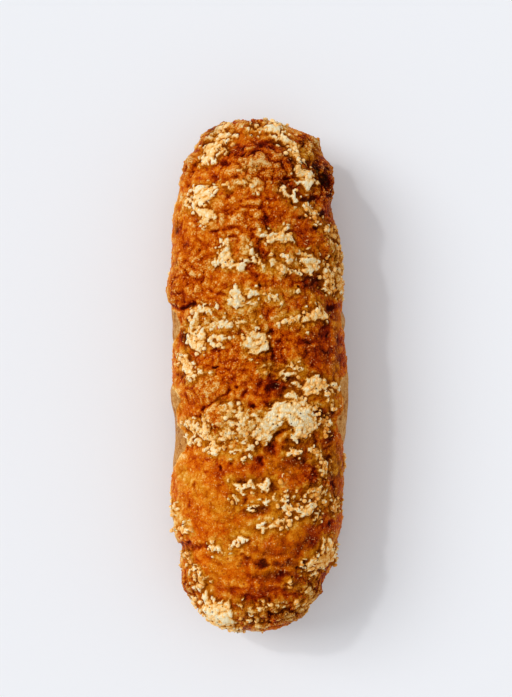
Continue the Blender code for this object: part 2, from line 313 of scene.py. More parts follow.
# Darkly browned or burnt places, and painted shade in folds, grooves and low on the right, in pixels:
# (strength, (x, y, half length, half width, turn if any), ...)
DARK_AND_SHADED_PLACES = (
    (0.15, (236, 347, 4, 5)), (0.2, (299, 232, 9, 8), (228, 362, 22, 10, 20), (224, 577, 18, 7)),
    (0.22, (228, 470, 30, 10)), (0.24, (299, 551, 13, 16, 30)),
    (0.25, (205, 338, 8, 14), (262, 512, 14, 8), (186, 280, 14, 12), (187, 351, 6, 6)),
    (0.28, (270, 277, 8, 6), (187, 397, 7, 6)),
    (0.3, (246, 200, 8, 3), (318, 286, 12, 4), (254, 388, 6, 10), (318, 345, 24, 24), (262, 570, 34, 12),
     (190, 385, 16, 12), (312, 476, 20, 14), (266, 552, 24, 8), (304, 313, 8, 5), (307, 566, 6, 5)),
    (0.32, (264, 314, 6, 11)),
    (0.35, (255, 272, 8, 5), (320, 352, 10, 6), (233, 591, 14, 3), (290, 597, 12, 4, -15),
     (270, 591, 18, 5), (264, 142, 24, 7, -5), (312, 282, 24, 9), (300, 580, 24, 14, -30),
     (332, 200, 6, 30), (180, 292, 12, 14), (262, 240, 8, 12), (224, 369, 11, 6), (228, 379, 9, 8),
     (182, 394, 5, 8)),
    (0.38, (284, 548, 9, 10)),
    (0.4, (252, 148, 10, 4), (309, 155, 7, 6), (235, 362, 4, 9), (306, 338, 12, 7), (193, 486, 2.5, 5),
     (252, 471, 10, 4, -20), (300, 502, 8, 3), (268, 214, 12, 14), (277, 370, 9, 12), (297, 440, 12, 8),
     (247, 478, 20, 8, -10), (272, 488, 10, 8), (270, 602, 20, 6), (224, 140, 12, 10), (218, 394, 8, 6),
     (314, 440, 6, 6), (186, 553, 6, 5)),
    (0.42, (260, 460, 4, 6), (247, 562, 6, 5, 10), (311, 545, 11, 12, 30), (270, 577, 26, 12),
     (281, 359, 12, 9), (244, 566, 8, 7)),
    (0.45, (213, 170, 5, 5), (226, 189, 9, 6, -20), (270, 194, 6, 4), (260, 248, 8, 8), (258, 253, 4, 6),
     (212, 226, 6, 3, -20), (214, 346, 6, 5), (222, 361, 6, 3, 30), (340, 338, 4, 6), (283, 386, 12, 4),
     (242, 383, 6, 4, -40), (224, 393, 6, 3, -45), (258, 440, 3, 6), (304, 436, 6, 3), (188, 428, 5, 3),
     (205, 471, 4, 2.5), (188, 507, 2.5, 6, 15), (252, 588, 3, 6, 20), (187, 584, 4, 12, -20),
     (288, 186, 12, 10), (242, 404, 12, 6), (268, 402, 14, 6), (262, 250, 10, 12)),
    (0.46, (285, 590, 8, 6)),
    (0.5, (195, 148, 4, 5, -40), (240, 142, 8, 6), (237, 172, 4, 4), (280, 175, 16, 7),
     (292, 197, 8, 3, -20), (185, 242, 6, 2.5, -40), (222, 292, 7, 3), (186, 319, 6, 5), (270, 341, 4, 8),
     (341, 356, 4, 5), (180, 374, 4, 5), (277, 434, 9, 3.5, -35), (257, 448, 3, 6), (231, 464, 5, 3, -20),
     (333, 487, 4, 8), (260, 564, 5, 3.5), (288, 565, 12, 4, 10), (278, 616, 6, 4), (268, 384, 13, 12),
     (304, 462, 15, 9), (246, 606, 16, 12), (234, 262, 6, 4), (318, 590, 4, 7, 45), (265, 626, 5, 3),
     (241, 330, 5, 5), (279, 346, 6, 10), (326, 347, 6, 9)),
    (0.52, (268, 578, 26, 10)),
    (0.55, (176, 223, 5, 9), (325, 333, 6, 12), (326, 318, 4, 6), (264, 392, 7, 7), (244, 396, 2.5, 7, 30),
     (330, 437, 4, 10), (246, 500, 2.5, 2.5), (309, 544, 6, 7), (242, 557, 3, 2), (268, 616, 5, 5),
     (236, 146, 20, 9, -10), (264, 352, 9, 22)),
    (0.56, (265, 591, 14, 7)), (0.58, (257, 143, 10, 6)),
    (0.6, (206, 139, 4, 6), (186, 166, 4, 6, -60), (310, 279, 16, 7), (173, 281, 4, 8), (237, 329, 6, 5),
     (321, 412, 4, 6), (333, 411, 3, 8), (289, 446, 10, 4), (303, 461, 12, 6), (256, 513, 19, 5.5, -3),
     (264, 378, 16, 10), (272, 140, 16, 8), (304, 609, 6, 4, -45)),
    (0.62, (245, 150, 7, 6), (279, 391, 9, 6), (256, 442, 5, 6), (278, 613, 26, 6, -5)),
    (0.65, (223, 157, 6, 4), (268, 222, 3, 5), (272, 330, 5, 4), (273, 352, 4, 8), (292, 380, 8, 4),
     (203, 409, 3, 5), (184, 444, 3.5, 5), (275, 491, 3, 2), (290, 622, 7, 4, -20), (283, 387, 8, 6)),
    (0.68, (279, 165, 7, 7), (292, 440, 8, 6), (279, 567, 10, 7)),
    (0.7, (214, 128, 12, 3, -35), (262, 137, 16, 5, -8), (277, 158, 7, 4), (267, 213, 5, 7, 20),
     (305, 213, 5, 3), (303, 252, 1.8, 1.8), (270, 380, 8, 8), (331, 525, 4, 4), (183, 546, 6, 3),
     (266, 348, 10, 14), (256, 618, 18, 9), (277, 578, 18, 10)),
    (0.72, (262, 567, 12, 6)),
    (0.75, (184, 338, 6, 10), (245, 334, 2, 4), (252, 405, 3, 3), (328, 458, 4, 5), (247, 626, 8, 4),
     (290, 154, 8, 9)),
    (0.78, (268, 447, 11, 9)),
    (0.8, (226, 122, 10, 3, -8), (252, 122, 12, 3), (290, 160, 5, 10), (327, 186, 4, 6), (303, 192, 5, 4),
     (325, 211, 4, 5), (336, 253, 2.5, 4), (235, 385, 3, 2.5), (294, 427, 2, 2)),
    (0.85, (303, 137, 4, 6), (335, 235, 4, 9), (304, 264, 2.5, 2.5), (185, 304, 9, 3.5, -22),
     (219.5, 468, 2.5, 3.5), (267, 386, 8, 10)),
    (0.9, (323, 165, 6, 4), (316, 224, 3.5, 3.5)), (0.95, (312, 193, 7, 4)), (0.98, (272, 384, 9, 7)),
    (1, (316, 160, 3, 3), (331, 304, 5, 5), (182, 335, 5, 9)), (1.1, (276, 377, 2.5, 2)),
    (1.2, (318, 165, 5, 6), (299, 284, 1.6, 1.6), (260, 283, 1.5, 1.5), (214.5, 364, 1.8, 1.8),
     (297, 571, 1.3, 1.3), (292, 580, 1.2, 1.5)),
    (1.25, (321, 175, 6, 12)), (1.3, (332, 545, 1.5, 1.8)),
)

# Golden to olive zones, whose browning is yellow rather than red, in the same form
OCHRE_ZONES = (
    (0.4, (290, 360, 14, 12), (250, 600, 20, 5), (330, 330, 5, 18), (250, 420, 40, 12)),
    (0.5, (262, 480, 28, 6), (315, 400, 34, 230), (220, 455, 44, 24), (300, 560, 34, 34)),
    (0.55, (285, 470, 34, 26)),
    (0.6, (187, 478, 14, 14), (292, 128, 14, 4, 5), (300, 298, 18, 7), (262, 282, 10, 5),
     (295, 590, 12, 6, -20), (322, 245, 10, 10), (312, 225, 8, 7), (270, 300, 60, 18)),
    (0.62, (230, 505, 60, 44)), (0.65, (290, 445, 30, 30)),
    (0.7, (179, 197, 4, 22, 5), (285, 400, 16, 6), (250, 560, 64, 36), (174, 235, 5, 60), (336, 270, 8, 60),
     (338, 470, 8, 60)),
    (0.8, (180, 445, 6, 28), (174, 395, 4, 12), (268, 455, 10, 16), (336, 350, 8, 60)),
    (0.9, (175, 325, 5, 15), (275, 264, 16, 12), (240, 530, 34, 16, -10), (312, 148, 14, 16, 40)),
    (1.1, (184, 478, 9, 18)), (1.35, (286, 523, 32, 24)), (1.4, (336, 462, 9, 26)),
)

# Zones whose browning is paler
PALE_ZONES = (
    (0.2, (300, 500, 20, 8)), (0.22, (212, 217, 18, 12), (276, 292, 22, 12)), (0.25, (246, 170, 9, 6)),
    (0.3, (250, 300, 30, 5), (247, 195, 8, 6)),
    (0.35, (258, 154, 8, 5), (242, 368, 6, 6), (254, 572, 12, 7), (296, 244, 6, 6), (222, 327, 18, 6),
     (215, 550, 20, 5), (314, 146, 10, 12, 40), (335, 325, 7, 30), (320, 418, 6, 8)),
    (0.38, (250, 182, 13, 7)),
    (0.4, (205, 490, 10, 5, -20), (234, 160, 5, 4), (237, 543, 8, 4, -10), (222, 253, 7, 6),
     (247, 266, 11, 8), (314, 290, 8, 5), (229, 340, 10, 6), (284, 434, 8, 6), (246, 554, 8, 5),
     (223, 601, 8, 6), (280, 226, 12, 6), (334, 230, 7, 46)),
    (0.45, (224, 238, 12, 6), (206, 370, 9, 7)),
    (0.5, (173, 525, 4, 22), (233, 446, 12, 7), (288, 298, 12, 6), (345, 400, 5, 45), (300, 396, 16, 6, 15),
     (306, 254, 7, 6)),
    (0.6, (292, 129, 12, 4, 5), (212, 411, 14, 11), (212, 590, 7, 6)),
    (0.62, (250, 302, 14, 5), (208, 374, 8, 5)),
    (0.65, (260, 157, 13, 6), (305, 205, 8, 5), (234, 217, 8, 6), (230, 242, 13, 7)),
    (0.7, (174, 320, 4, 12), (174, 395, 4, 12), (190, 478, 13, 13), (303, 508, 16, 9, -20),
     (196, 572, 8, 5, 30), (284, 229, 8, 5)),
    (0.75, (285, 262, 16, 11)),
    (0.8, (181, 191, 4, 12, 10), (181, 442, 7, 26), (188, 564, 5, 14, -32), (331, 266, 6, 7)),
    (0.85, (281, 527, 18, 8, -14), (267, 521, 8, 7)), (0.9, (184, 530, 6, 6)), (1, (230, 212, 12, 7, -30)),
)

# Zones whose browning is red
RED_ZONES = (
    (0.25, (196, 262, 24, 26)), (0.3, (300, 338, 26, 20)), (0.6, (226, 212, 34, 22, -20)),
    (0.95, (256, 160, 36, 34)),
)

# Across these pixels the crust grows darker from left to right: painted shade on the side away from the
# light, with some browning
RIGHT_SHADE_PIXELS = (250.0, 350.0)

# Where the crust is most knobbly
KNOBBLY_ZONES = (
    (0.36, (250, 235, 80, 60)), (0.38, (250, 330, 84, 80)), (0.44, (205, 386, 28, 22)),
    (0.5, (300, 260, 30, 14), (300, 415, 26, 24), (320, 480, 16, 40), (196, 266, 26, 38),
     (250, 215, 50, 20)),
    (0.6, (250, 122, 40, 6), (205, 320, 26, 14), (175, 290, 8, 24)),
    (0.7, (330, 235, 10, 26), (235, 425, 50, 26)),
    (0.8, (215, 130, 24, 8, -35), (190, 162, 8, 16, 30), (190, 590, 10, 18, -25)),
    (0.85, (262, 163, 40, 28)), (0.9, (336, 250, 8, 50), (312, 592, 16, 12, -50)),
    (1, (310, 142, 18, 12, 40)), (1.2, (325, 178, 12, 24), (280, 615, 42, 12, -8)),
)

# Creases and ridges as bent lines in pixels: (points, half width, depth in mm; ridges are negative)
CREASES = (
    (((199, 416), (202, 409), (208, 404), (216, 400), (222, 394), (228, 388)), 2.1, 0.85),
    (((234, 404), (240, 398), (246, 389)), 2.2, 0.8),
    (((257, 436), (258, 450), (261, 464)), 3.2, 0.6),
    (((270, 332), (271, 346), (274, 358), (268, 385)), 4.0, 0.7),
    (((228, 146), (248, 140), (268, 137), (284, 144)), 6.0, 0.7),
    (((166, 299), (180, 306), (192, 300)), 3.0, 1.2),
    (((175, 546), (188, 549), (205, 548)), 3.2, 1.0),
    (((186, 562), (205, 583), (235, 596), (262, 600), (290, 594), (312, 580)), 5.0, 0.6),
    (((205, 556), (240, 580), (285, 578)), 3.5, 0.4),
    (((216, 226), (235, 222), (262, 227)), 2.4, 0.55),
    (((222, 233), (244, 229), (260, 236)), 2.4, 0.55),
    (((218, 214), (236, 203), (256, 201)), 2.4, 0.55),
    (((224, 207), (240, 196), (258, 192)), 2.4, 0.55),
    (((262, 205), (268, 214), (268, 226)), 4.5, 0.6),
    (((188, 182), (194, 166), (206, 147), (218, 133), (238, 127)), 2.2, 0.7),
    (((300, 150), (312, 160), (313, 180), (318, 200)), 2.2, 0.7),
    (((330, 298), (334, 316)), 4.0, 1.0),
    (((300, 380), (278, 378)), 4.0, 0.7),
    (((288, 424), (279, 432), (270, 441)), 3.4, 0.8),
    (((312, 146), (318, 158), (316, 172)), 3.6, 0.8),
    (((238, 326), (246, 336)), 3.0, 0.5),
    (((238, 556), (250, 563), (264, 565)), 4.0, 0.8),
    (((255, 583), (252, 592)), 3.0, 0.4),
    (((183, 178), (190, 160), (203, 138), (216, 126), (240, 121), (270, 121), (300, 127), (312, 138)),
     5.0, -1.4),
    (((186, 585), (200, 605), (218, 620), (245, 627), (275, 623), (300, 612), (318, 592)), 6.0, -1.3),
    (((195, 574), (225, 588), (262, 590), (300, 580)), 4.5, -0.6),
    (((220, 210), (238, 199), (258, 196)), 2.4, -0.4),
    (((222, 222), (240, 216), (258, 221)), 2.6, -0.5),
)

# Named strands of cheese, in pixels
STRANDS = (
    ((282, 478), (282, 475), (284, 473)),
    ((233, 495), (236, 500), (237, 505)),
)


def smooth_step(value):
    """0 below 0, 1 above 1, an even S between."""
    t = np.clip(value, 0.0, 1.0)
    return t * t * (3.0 - 2.0 * t)


# ---- noise on arrays of points


def cell_random(cell, seed):
    """An even random number from 0 to 1 for each whole-number cell."""
    c = cell.astype(np.int64).astype(np.uint32)
    mixed = np.uint32((seed * 2654435761) % 2**32)
    for axis, prime in enumerate((73856093, 19349663, 83492791)):
        mixed = mixed ^ c[..., axis] * np.uint32(prime)
    for shift, factor in ((16, 0x85EBCA6B), (13, 0xC2B2AE35)):
        mixed = (mixed ^ (mixed >> np.uint32(shift))) * np.uint32(factor)
    mixed = mixed ^ (mixed >> np.uint32(16))
    return mixed.astype(float) / 2**32


def value_noise(points, size, seed):
    """Smooth noise from 0 to 1 with swells of that size."""
    at = points / size
    cell = np.floor(at)
    share = smooth_step(at - cell)
    total = np.zeros(len(points))
    for corner in np.ndindex(2, 2, 2):
        step = np.array(corner)
        weight = np.prod(np.where(step == 1, share, 1.0 - share), axis=1)
        total += weight * cell_random(cell + step, seed)
    return total


def fractal(points, size, seed, octaves=3):
    """Sum of noises, each half the size and weight of the one before, from 0 to 1."""
    total = np.zeros(len(points))
    weights = 0.0
    for k in range(octaves):
        total += value_noise(points, size / 2**k, seed + k) / 2**k
        weights += 1.0 / 2**k
    return total / weights


def pushed(points, size, push, seed):
    """The points moved about by smooth noise, so that a pattern over them shows no grid."""
    shift = np.stack([value_noise(points, size, seed + k) for k in range(3)], axis=1) - 0.5
    return points + 2.0 * push * shift


def lumps(points, size, seed):
    """Fused, uneven round lumps of about that size: height up to 1, and each lump's random number."""
    at = points / size
    cell = np.floor(at)
    top = np.zeros(len(points))
    shade = np.full(len(points), 0.5)
    for corner in np.ndindex(3, 3, 3):
        neighbour = cell + np.array(corner) - 1
        centre = neighbour + np.stack([cell_random(neighbour, seed + k) for k in range(3)], axis=1)
        tall = LOWEST_LUMP + (1.0 - LOWEST_LUMP) * cell_random(neighbour, seed + 3)
        reach = LUMP_REACH * (NARROWEST_LUMP + (1.0 - NARROWEST_LUMP) * tall)
        fall = ((at - centre) ** 2).sum(axis=1) / reach**2
        height = tall * (1.0 - fall)
        shade = np.where(height > top, cell_random(neighbour, seed + 4), shade)
        top = np.maximum(top, height)
    return top, shade


# ---- the plain loaf


def end_rounding(from_tip, reach, roundness):
    """Share of the full size that a rounded end has at a distance from its tip."""
    u = np.clip(from_tip / reach, 0.0, 1.0)
    return (1.0 - (1.0 - u) ** 2) ** (1.0 / roundness)


def waves(y, rows):
    """Sum of smooth swells along the loaf: (y, reach, size)."""
    return sum(size * np.exp(-(((y - at) / reach) ** 2)) for at, reach, size in rows)


def half_widths(y):
    """Left and right half widths of the plan outline."""
    far = end_rounding(LENGTH / 2 - y, END_REACH, BLUNT_END)
    left_near = end_rounding(LENGTH / 2 + y, END_REACH, BLUNT_END)
    right_near = end_rounding(LENGTH / 2 + y, END_REACH, POINTED_END)
    left = (LEFT_HALF_WIDTH + waves(y, LEFT_OUTLINE_WAVES)) * far * left_near
    right = (RIGHT_HALF_WIDTH + waves(y, RIGHT_OUTLINE_WAVES)) * far * right_near
    return left, right


def stations():
    """Y of each section: close together at the tips, even between them."""
    steps = END_ZONE * (np.arange(1, END_STATIONS + 1) / END_STATIONS) ** 2
    span = LENGTH - 2 * END_ZONE
    count = round(span / TOP_SPACING)
    middle = -span / 2 + span * np.arange(1, count) / count
    return np.concatenate([-LENGTH / 2 + steps, middle, LENGTH / 2 - steps[::-1]])


def section_grid():
    """Points of the plain loaf: rows along it, columns over left flank, top, right flank and underside."""
    y = stations()[:, None]
    left, right = half_widths(y)
    from_tip = LENGTH / 2 - np.abs(y)
    high = TIP_LEVEL + (HEIGHT - TIP_LEVEL) * end_rounding(from_tip, TOP_REACH, TOP_ROUNDNESS)
    low = TIP_LEVEL * (1.0 - end_rounding(from_tip, UNDERCUT_REACH, 2.0))
    widest = low + (high - low) * WIDEST_SHARE
    flat = BASE_SHARE * end_rounding(from_tip, BASE_REACH, 2.0)
    arc = math.pi * math.hypot(WIDTH / 2, HEIGHT * (1 - WIDEST_SHARE)) / math.sqrt(2)
    turn = np.linspace(0.0, math.pi, round(arc / TOP_SPACING))[None, :]
    side = np.where(turn < math.pi / 2, -left, right)
    over_x = side * np.abs(np.cos(turn)) ** (2.0 / CROWN_ROUNDNESS)
    over_z = widest + (high - widest) * np.abs(np.sin(turn)) ** (2.0 / CROWN_ROUNDNESS)
    dip = np.linspace(math.pi / 2, 0.0, FLANK_POINTS, endpoint=False)[None, :]
    flank_x = flat + (1.0 - flat) * np.cos(dip)
    flank_z = widest - (widest - low) * np.sin(dip)
    share = (np.arange(1, UNDER_POINTS + 1) / (UNDER_POINTS + 1))[None, :]
    under_x = right * flat - (left + right) * flat * share
    under_z = low + 0.0 * share
    x = np.concatenate([-left * flank_x, over_x, (right * flank_x)[:, ::-1], under_x], axis=1)
    z = np.concatenate([flank_z, over_z, flank_z[:, ::-1], under_z], axis=1)
    return np.stack([x, y + 0.0 * x, z], axis=2)


def grid_normals(grid):
    """Outward normals of the grid's points."""
    around = np.roll(grid, -1, axis=1) - np.roll(grid, 1, axis=1)
    along = np.gradient(grid, axis=0)
    normal = np.cross(around, along)
    normal /= np.maximum(np.linalg.norm(normal, axis=2, keepdims=True), 1e-12)
    outward = grid - np.array([0.0, 0.0, TIP_LEVEL]) * [1, 0, 1]
    outward[..., 1] = 0.0
    return normal * np.sign((normal * outward).sum())


def fit_to_frame(grid):
    """Stretch the grid to the CAD's box."""
    low = grid.min(axis=(0, 1))
    high = grid.max(axis=(0, 1))
    corner = np.array(CAD_BOX[0])
    return corner + (grid - low) * (np.array(CAD_BOX[1]) - corner) / (high - low)


# ---- places in the picture


def camera_place():
    """Where the camera stands: over the middle of the picture."""
    x = (PICTURE[0] / 2 - ORIGIN_PIXEL[0]) * METRES_PER_PIXEL
    y = (ORIGIN_PIXEL[1] - PICTURE[1] / 2) * METRES_PER_PIXEL
    return x, y, OUTLINE_LEVEL + CAMERA_DISTANCE


def picture_position(points):
    """Pixel of the picture at which each point shows."""
    x, y, z = camera_place()
    scale = CAMERA_DISTANCE / METRES_PER_PIXEL / (z - points[:, 2])
    across = PICTURE[0] / 2 + (points[:, 0] - x) * scale
    down = PICTURE[1] / 2 - (points[:, 1] - y) * scale
    return across, down


def ellipse_distance(across, down, x, y, half_length, half_width, turn=0):
    """Distance from an ellipse's centre, as a share of its radius that way."""
    c, s = math.cos(math.radians(turn)), math.sin(math.radians(turn))
    along = ((across - x) * c + (down - y) * s) / half_length
    beside = ((down - y) * c - (across - x) * s) / half_width
    return np.hypot(along, beside)


def from_segment(across, down, start, end):
    """Each point's distance from a segment, and how far along the segment the nearest place is, 0 to 1."""
    run = np.array(end[:2], float) - start[:2]
    beside = np.stack([across - start[0], down - start[1]], axis=1)
    share = np.clip(beside @ run / max(run @ run, 1.0), 0.0, 1.0)
    return np.linalg.norm(beside - share[:, None] * run, axis=1), share


def line_distance(across, down, line):
    """Pixels from each point to a bent line."""
    return np.min([from_segment(across, down, *ends)[0] for ends in zip(line, line[1:])], axis=0)


def stroke_depth(across, down, strokes):
    """Pixels inside the strokes, which flow together, below zero outside; and the nearest's strength."""
    total = np.full(len(across), math.exp(-FAR_OUTSIDE / PATCH_BLEND))
    strong = np.zeros(len(across))
    for strength, *spots in strokes:
        deepest = np.full(len(across), -FAR_OUTSIDE)
        for start, end in zip(spots, spots[1:] or spots):
            away, share = from_segment(across, down, start, end)
            deepest = np.maximum(deepest, start[2] + share * (end[2] - start[2]) - away)
        weight = np.exp((deepest - (1.0 - strength) * WEAK_LOSS) / PATCH_BLEND)
        total += weight
        strong += weight * strength
    return PATCH_BLEND * np.log(total), strong / total


def soft_places(across, down, places):
    """1 in the middle of strong places, falling softly to 0 outside all of them."""
    best = np.zeros(len(across))
    for strength, *ellipses in places:
        for ellipse in ellipses:
            distance = ellipse_distance(across, down, *ellipse)
            best = np.maximum(best, strength * np.exp(-PLACE_FALL * distance**PLACE_POWER))
    return best


def warped_pixels(points):
    """Pixels at which the points show, pushed about by noise so that patches have ragged outlines."""
    place = list(picture_position(points))
    for size, push in WARPS:
        for axis in range(2):
            place[axis] = place[axis] + push * (fractal(points, size, 11 + 10 * axis, 2) - 0.5)
    return place


# ---- relief of the crust


def lip_rise(points):
    """How far the cheese slab's lower edge rises there."""
    left, right = (waves(points[:, 1], rows) for rows in (LEFT_LIP_RISES, RIGHT_LIP_RISES))
    return np.where(points[:, 0] < 0, left, right)


def lip_level(points):
    """Level of the cheese slab's lower edge."""
    rise = lip_rise(points)
    wander = fractal(points * [1.0, 1.0, 0.3], 0.03, 61) - 0.5
    level = LIP_LEVEL + rise + 2 * LIP_WAVE * wander
    for size, reach in LIP_CRUMBLE:
        level += reach * (value_noise(points, size, 64) - 0.5)
    return level


def broad_shape(grid):
    """The plain grid with the swells and lumps that the CAD has, in the CAD's box."""
    normals = grid_normals(grid)
    points = grid.reshape(-1, 3)
    height = np.zeros(len(points))
    for size, rise in (BROAD_SWELLS, SMALL_SWELLS):
        height += rise * np.array([noise.noise(Vector(p)) for p in (points / size).tolist()])
    on_top = smooth_step((points[:, 2] - LIP_LEVEL) / LIP_LEVEL)
    for x, y, reach_x, reach_y, rise in LUMPS:
        out = np.hypot((points[:, 0] - x) / reach_x, (points[:, 1] - y) / reach_y)
        height += rise * (1.0 - smooth_step(out)) * on_top
    height *= smooth_step((points[:, 2] - RELIEF_STARTS) / (RELIEF_FULL - RELIEF_STARTS))
    return fit_to_frame(grid + normals * height.reshape(grid.shape[:2])[..., None])


def crust_grain(points):
    """The crust's own lumps, in three sizes, each as height and random shade, and grit finer than those."""
    loose = points
    for size, push, seed in LOOSENING:
        loose = pushed(loose, size, push, seed)
    grain = {name: lumps(loose, size, seed) for name, size, seed in LUMP_SIZES}
    grain["grit"] = fractal(loose, *GRIT) - 0.5
    return grain


def cheese_field(points, seen, from_above, slab, grain):
    """Pixels inside the pale cheese, below zero outside, frayed by the lumps and with stray curds."""
    unseen = (fractal(points, *UNSEEN_CHEESE) - 0.60) * 60.0
    cheese = from_above * seen + (1.0 - from_above) * unseen
    cheese = np.where(slab > 0.5, cheese, np.minimum(cheese, BARE_BREAD))
    small, middle = grain["small"][1], grain["middle"][1]
    cheese = cheese + SMALL_FRAY * (small - 0.5) + MIDDLE_FRAY * (middle - 0.5)
    stray = smooth_step((small - 0.85) / 0.1) * smooth_step((seen + 9.0) / 5.0) * from_above
    return cheese + STRAY_CURD * stray * slab


def dark_and_shade_field(points, across, down, from_above):
    """How dark the browning and the painted shade in folds and grooves are: from the picture where it
    shows, invented browning only on the flanks.
    """
    seen = soft_places(across, down, DARK_AND_SHADED_PLACES)
    unseen = smooth_step((fractal(points, *UNSEEN_DARK) - 0.58) / 0.2) * 0.4
    return from_above * seen + (1.0 - from_above) * unseen


def ochre_field(points, across, down, from_above):
    """How yellow the browning is, in the same way."""
    seen = soft_places(across, down, OCHRE_ZONES)
    unseen = smooth_step(fractal(points, *UNSEEN_OCHRE) * 3 - 1.2)
    return from_above * seen + (1.0 - from_above) * unseen


def crease_fields(across, down, from_above):
    """Height in mm of the creases and ridges, and how deep in a crease each point is, up to 1."""
    crease = np.zeros(len(across))
    furrow = np.zeros(len(across))
    for line, half_width, depth in CREASES:
        near = np.exp(-((line_distance(across, down, line) / half_width) ** 2)) * from_above
        crease -= depth * near
        if depth > 0:
            furrow = np.maximum(furrow, near * min(1.0, depth / 1.5))
    return crease, furrow


def look_fields(points, facing_up, grain):
    """Named fields over the surface: where it is cheese, pale, browned, ochre, bare bread or creased, and
    where painted shade darkens it.
    """
    lip = lip_level(points)
    slab = smooth_step((points[:, 2] - lip) / LIP_SOFTNESS)
    from_above = smooth_step((facing_up - SEEN_FACING) / SEEN_SOFTNESS)
    across, down = warped_pixels(points)
    seen, whiteness = stroke_depth(across, down, PALE_CHEESE)
    rim = from_above * (1.0 - smooth_step(facing_up / 0.5))
    glow = np.exp(-np.maximum(points[:, 2] - lip, 0.0) / LIP_GLOW)
    ochre = np.maximum(ochre_field(points, across, down, from_above), np.maximum(RIM_OCHRE * rim, glow))
    pale = soft_places(across, down, PALE_ZONES) * from_above
    crease, furrow = crease_fields(across, down, from_above)
    return {
        "slab": slab,
        "cheese": cheese_field(points, seen, from_above, slab, grain),
        "whiteness": whiteness * from_above + UNSEEN_WHITENESS * (1.0 - from_above),
        "dark": dark_and_shade_field(points, across, down, from_above),
        "ochre": ochre - soft_places(across, down, RED_ZONES),
        "pale": pale + RIM_PALENESS * rim + LIP_PALENESS * glow,
        "knobbly": soft_places(across, down, KNOBBLY_ZONES) * from_above,
        "shade": 0.6 * grain["middle"][1] + 0.4 * grain["small"][1] - 0.5,
        # Painted shade, with some browning, growing towards the right
        "trend": smooth_step((across - RIGHT_SHADE_PIXELS[0]) / (RIGHT_SHADE_PIXELS[1] - RIGHT_SHADE_PIXELS[0])),
        "crease": crease,
        "furrow": furrow,
        "level": np.clip(points[:, 2] / LIP_LEVEL, 0.0, 1.0),
    }


def lump_height(grain, heights, knobbly, grit, height=0.0):
    """Height in mm of the lumps of all sizes and the grit, taller where the crust is knobbly."""
    for (name, *_), (plain, added) in zip(LUMP_SIZES, heights):
        height = height + (plain + added * knobbly) * grain[name][0]
    return height + grit * grain["grit"]


def fine_relief(points, fields, grain):
    """Height in metres of the crust's own relief over the broad shape."""
    slab = fields["slab"]
    knobbly = fields["knobbly"]
    pale = smooth_step((fields["cheese"] + 1.0) / 2.5)
    browned = lump_height(grain, BROWNED_LUMPS, knobbly, BROWNED_GRIT)
    curds = lump_height(grain, CURD_LUMPS, knobbly, CURD_GRIT, CURD_RISE)
    height = browned * (1.0 - pale) + curds * pale
    height = height - BURNT_DIP * fields["dark"] * (1.0 - pale) * (1.0 - knobbly) + fields["crease"]
    bulge = BREAD_BULGE * smooth_step(lip_rise(points) / LIP_LEVEL) - CHEESE_THICKNESS
    height = height * slab + bulge / MM * (1.0 - slab)
    pores = smooth_step((value_noise(points, PORE_SIZE, 83) - 0.60) / 0.16)
    swells = sum(rise * fractal(points, *kind) for rise, *kind in BREAD_SWELLS)
    above_ground = smooth_step((points[:, 2] - RELIEF_STARTS) / (RELIEF_FULL - RELIEF_STARTS))
    return (height + (swells - PORE_DEPTH * pores) * (1.0 - slab)) * above_ground * MM


def smoothed(grid, reach):
    """The grid averaged over a square of neighbours."""
    total = grid.copy()
    for axis, wraps in ((1, True), (0, False)):
        summed = np.zeros_like(total)
        for step in range(-reach, reach + 1):
            moved = np.roll(total, step, axis=axis)
            if not wraps and step > 0:
                moved[:step] = total[:1]
            if not wraps and step < 0:
                moved[step:] = total[-1:]
            summed += moved
        total = summed / (2 * reach + 1)
    return total


def standing_out(grid, normals, reach, full):
    """How far each point stands out of its neighbourhood: -1 in a hollow, 1 on a peak."""
    return np.clip(((grid - smoothed(grid, reach)) * normals).sum(axis=2) / full, -1.0, 1.0)


# ---- meshes


def grid_faces(rows, columns):
    """Quads over the grid and a fan at each tip, whose points follow the grid's."""
    i = np.arange(rows - 1)[:, None]
    j = np.arange(columns)[None, :]
    k = (j + 1) % columns
    here, beyond = i * columns, (i + 1) * columns
    quads = np.stack([here + j, here + k, beyond + k, beyond + j], axis=2)
    ring = np.arange(columns)
    after = (ring + 1) % columns
    near, far = rows * columns, rows * columns + 1
    last = (rows - 1) * columns
    fans = [(near, int(b), int(a)) for a, b in zip(ring, after)]
    fans += [(far, int(last + a), int(last + b)) for a, b in zip(ring, after)]
    return quads.reshape(-1, 4).tolist() + fans


def add_attribute(mesh, name, values):
    """A named number on each point of a mesh, for its material to read."""
    layer = mesh.attributes.new(name, "FLOAT", "POINT")
    layer.data.foreach_set("value", np.asarray(values, dtype=np.float32))


def add_object(name, data):
    """A new object of the scene."""
    item = bpy.data.objects.new(name, data)
    bpy.context.collection.objects.link(item)
    return item


def new_piece(name, points, faces, material):
    """A smooth-shaded mesh object of one material."""
    mesh = bpy.data.meshes.new(name)
    mesh.from_pydata(points.tolist(), [], faces)
    mesh.shade_smooth()
    mesh.materials.append(material)
    return add_object(name, mesh)


CRUST_ATTRIBUTES = (
    "slab", "cheese", "whiteness", "dark", "ochre", "pale", "shade", "trend", "furrow", "knobbly", "level",
    "hollow_small", "hollow_large",
)
GRAIN_ATTRIBUTES = ("cheese", "whiteness", "dark", "ochre", "pale", "shade", "trend")


